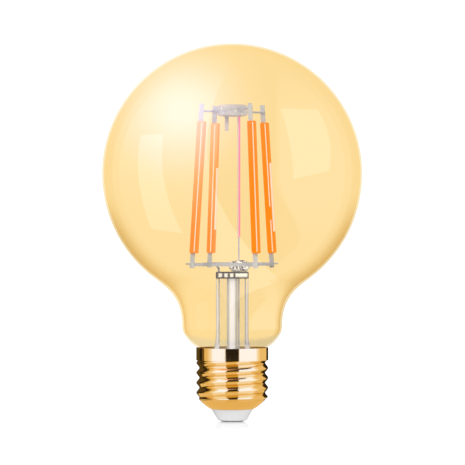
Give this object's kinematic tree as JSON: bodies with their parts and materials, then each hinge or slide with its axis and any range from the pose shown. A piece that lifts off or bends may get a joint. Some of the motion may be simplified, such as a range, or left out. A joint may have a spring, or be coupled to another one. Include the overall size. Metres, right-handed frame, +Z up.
{
  "type": "smart light bulb",
  "caption": "Smart light bulb: amber glass globe with upright LED filaments on a wire cage and glass stem, driver and radio boards hidden in a gold screw cap.",
  "frame": {"origin": "middle of the centre contact's flat underside, the lowest point, on the lamp's axis", "axes": "+Z up along the lamp's axis from the contact to the top of the globe; -Y is the front the picture was taken from; +X is to the viewer's right"},
  "size_m": [0.095, 0.095, 0.138],
  "materials": {
    "globe_glass": "clear amber-tinted blown glass, polished",
    "stem_glass": "clear lead-free stem glass, fire polished",
    "cap_metal": "thin rolled sheet, gold-coloured bright finish",
    "contact_metal": "tin-plated, smooth",
    "insulator_white": "moulded, white, slight gloss",
    "cement": "cured basing cement, chalky",
    "wire_metal": "drawn nickel-plated wire and stamped nickel strip",
    "tab_metal": "thin nickel-plated tab",
    "getter_metal": "dark sintered strip",
    "phosphor": "phosphor-filled silicone coat, orange, satin",
    "substrate_ceramic": "white ceramic strip",
    "chip_blue": "light-emitting dice, shown lit",
    "sleeve_pink": "extruded heat-proof sleeving, pale pink",
    "board_green": "circuit board laminate with green resist",
    "package_black": "moulded package, black",
    "capacitor_sleeve": "shrink-sleeved can, near black",
    "ferrite": "sintered ferrite, dark grey",
    "copper": "enamelled copper wire",
    "shield_metal": "pressed tin-plated can",
    "resistor_body": "moulded body, pale blue-green",
    "solder": "tinned pads, bright"
  },
  "bodies": {
    "root": {"glass_globe": "globe_glass", "cap_shell": "cap_metal", "cap_insulator": "insulator_white", "centre_contact": "contact_metal", "basing_cement": "cement", "stem_flare": "stem_glass", "stem_press": "stem_glass", "exhaust_tube": "stem_glass", "stem_bead": "stem_glass", "lead_wire_left": "wire_metal", "lead_wire_right": "wire_metal", "rail_front": "wire_metal", "rail_back": "wire_metal", "support_wire": "wire_metal", "support_sleeve": "sleeve_pink", "top_hub": "stem_glass", "bridge_wire_lower": "wire_metal", "bridge_wire_upper": "wire_metal", "getter_strip": "getter_metal", "driver_board": "board_green", "bulk_capacitor": "capacitor_sleeve", "inductor_core": "ferrite", "inductor_winding": "copper", "bridge_rectifier": "package_black", "driver_chip": "package_black", "fuse_resistor": "resistor_body", "radio_board": "board_green", "radio_shield": "shield_metal", "contact_wire": "wire_metal", "shell_wire": "wire_metal", "solder_pads": "solder", "filament_coat_1": "phosphor", "filament_substrate_1": "substrate_ceramic", "filament_chips_1": "chip_blue", "filament_tabs_1": "tab_metal", "filament_coat_2": "phosphor", "filament_substrate_2": "substrate_ceramic", "filament_chips_2": "chip_blue", "filament_tabs_2": "tab_metal", "filament_coat_3": "phosphor", "filament_substrate_3": "substrate_ceramic", "filament_chips_3": "chip_blue", "filament_tabs_3": "tab_metal", "filament_coat_4": "phosphor", "filament_substrate_4": "substrate_ceramic", "filament_chips_4": "chip_blue", "filament_tabs_4": "tab_metal"}
  },
  "joints": []
}
